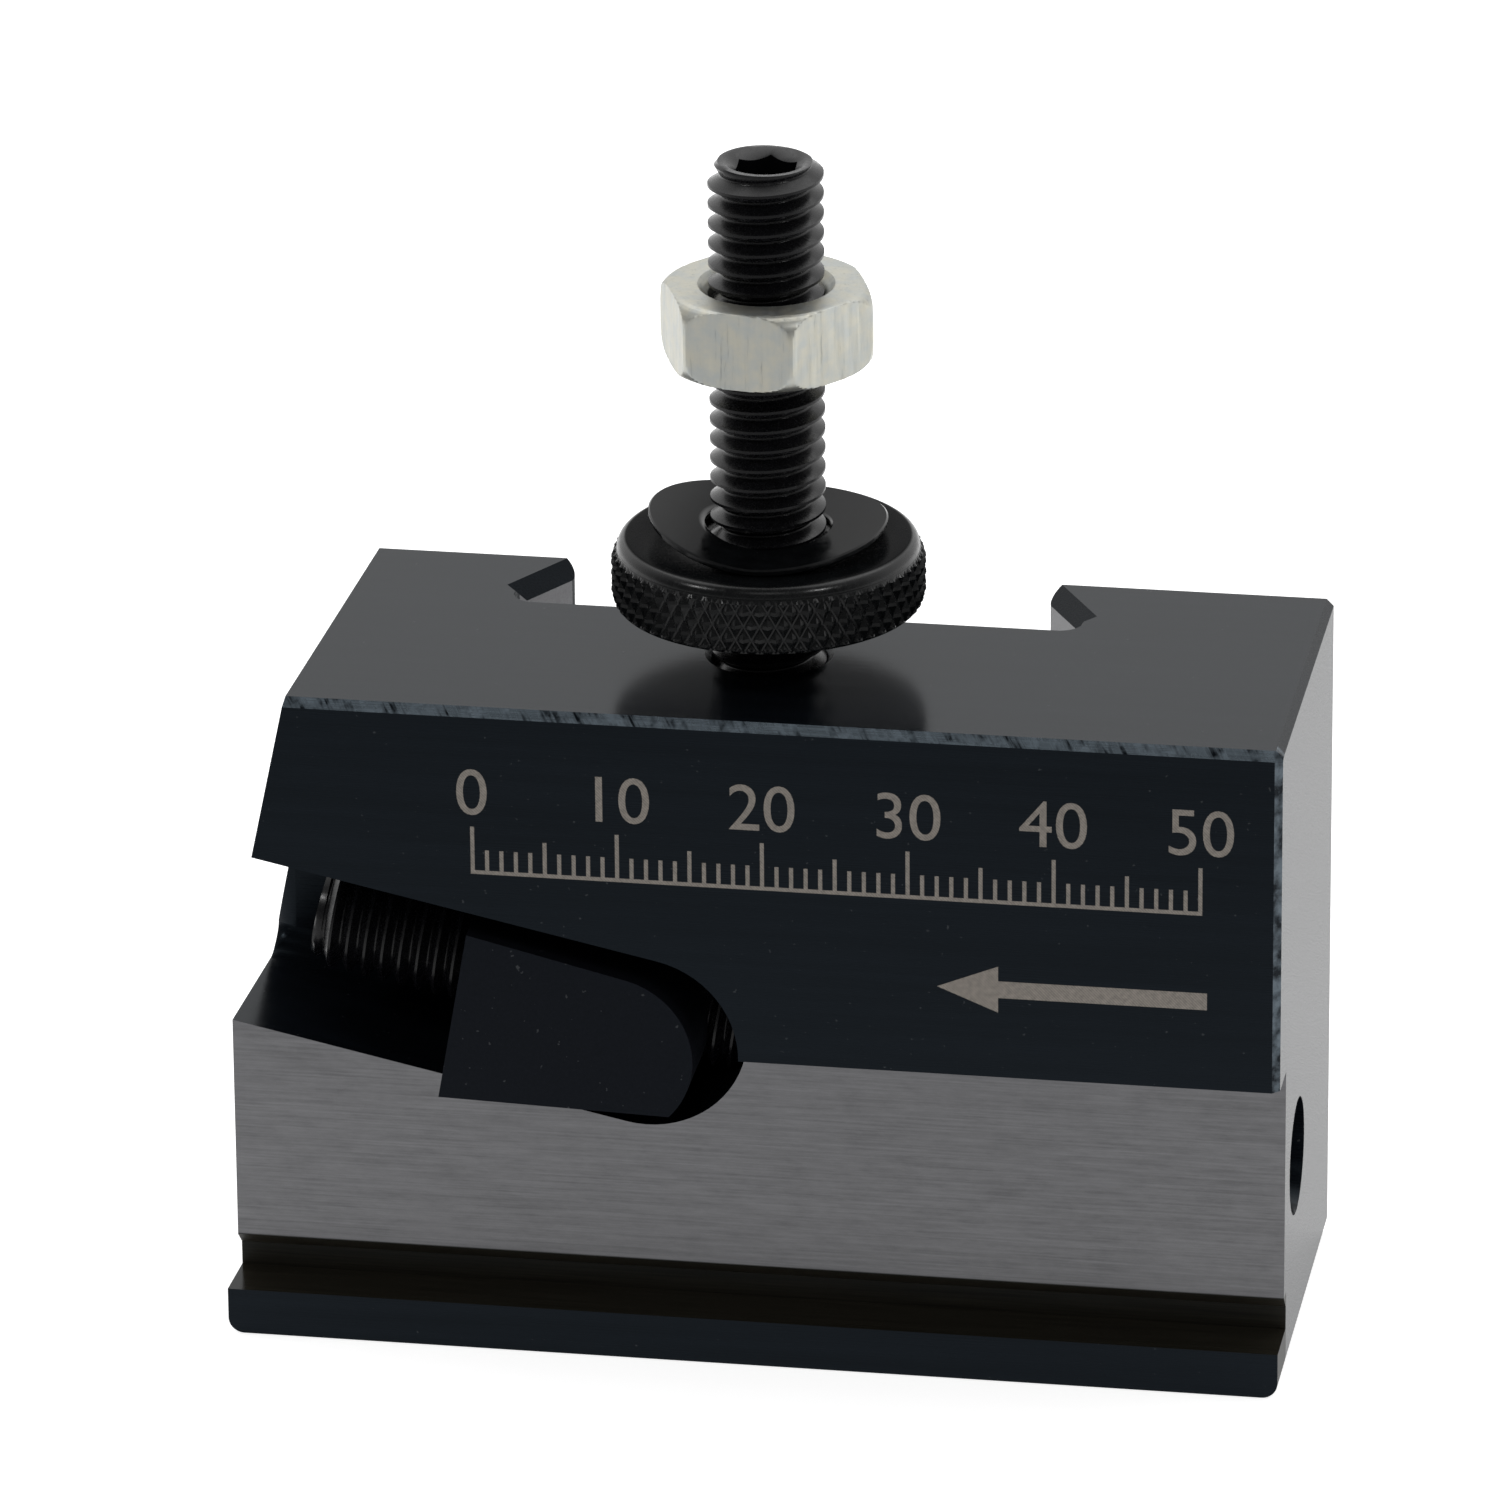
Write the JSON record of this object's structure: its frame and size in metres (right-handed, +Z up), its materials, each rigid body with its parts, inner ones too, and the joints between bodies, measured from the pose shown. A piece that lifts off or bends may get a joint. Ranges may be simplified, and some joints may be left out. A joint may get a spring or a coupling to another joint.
{
  "type": "parting blade tool holder",
  "caption": "Dovetailed quick change holder for a parting blade, with an inclined wedge clamp, its screw, and a height stud with a knurled nut.",
  "frame": {"origin": "on the resting face, under the middle of the assembly's outline", "axes": "+X along the block towards the end with the screw's through hole, +Y from the blade side to the dovetail side, +Z up along the height stud"},
  "size_m": [0.0734, 0.0286, 0.0837],
  "materials": {
    "black_oxide_block": "ground, black oxide",
    "matte_black_steel": "matte black oxide",
    "bare_steel": "bare",
    "black_screw_steel": "oiled black oxide",
    "black_knurled_steel": "knurled, oiled black oxide",
    "black_spring_steel": "smooth black oxide",
    "zinc_plate": "bright zinc plate"
  },
  "bodies": {
    "holder": {"holder_body": "black_oxide_block", "height_stud": "black_screw_steel"},
    "clamp": {"blade_clamp": "matte_black_steel", "clamp_pin": "bare_steel"},
    "screw": {"clamp_screw": "black_screw_steel"},
    "washer": {"spring_washer": "black_spring_steel"},
    "height_nut": {"thumb_nut": "black_knurled_steel"},
    "jam_nut": {"lock_nut": "zinc_plate"}
  },
  "joints": [
    {"name": "clamp_slide", "type": "slide", "parent": "holder", "child": "clamp", "axis": [0.9781, 0, -0.2079], "range_m": [-0.006, 0.0024]},
    {"name": "clamp_screw_turn", "type": "hinge", "parent": "clamp", "child": "screw", "pos_m": [-0.00755, -0.00395, 0.0233], "axis": [0.9781, 0, -0.2079], "range_deg": [-1728.5, 691.7]},
    {"name": "washer_slide", "type": "slide", "parent": "holder", "child": "washer", "axis": [0, 0, 1], "range_m": [-0.0038, 0.005]},
    {"name": "height_nut_turn", "type": "hinge", "parent": "washer", "child": "height_nut", "pos_m": [-0.00035, -0.00105, 0.054], "axis": [0, 0, 1], "range_deg": [-970, 1276.2]},
    {"name": "jam_nut_slide", "type": "slide", "parent": "holder", "child": "jam_nut", "axis": [0, 0, 1], "range_m": [-0.0049, 0.006]}
  ],
  "couplings": [
    {"joint": "clamp_screw_turn", "follows": "clamp_slide", "rad_per_m": 5026.5},
    {"joint": "height_nut_turn", "follows": "washer_slide", "rad_per_m": 4452.7}
  ]
}
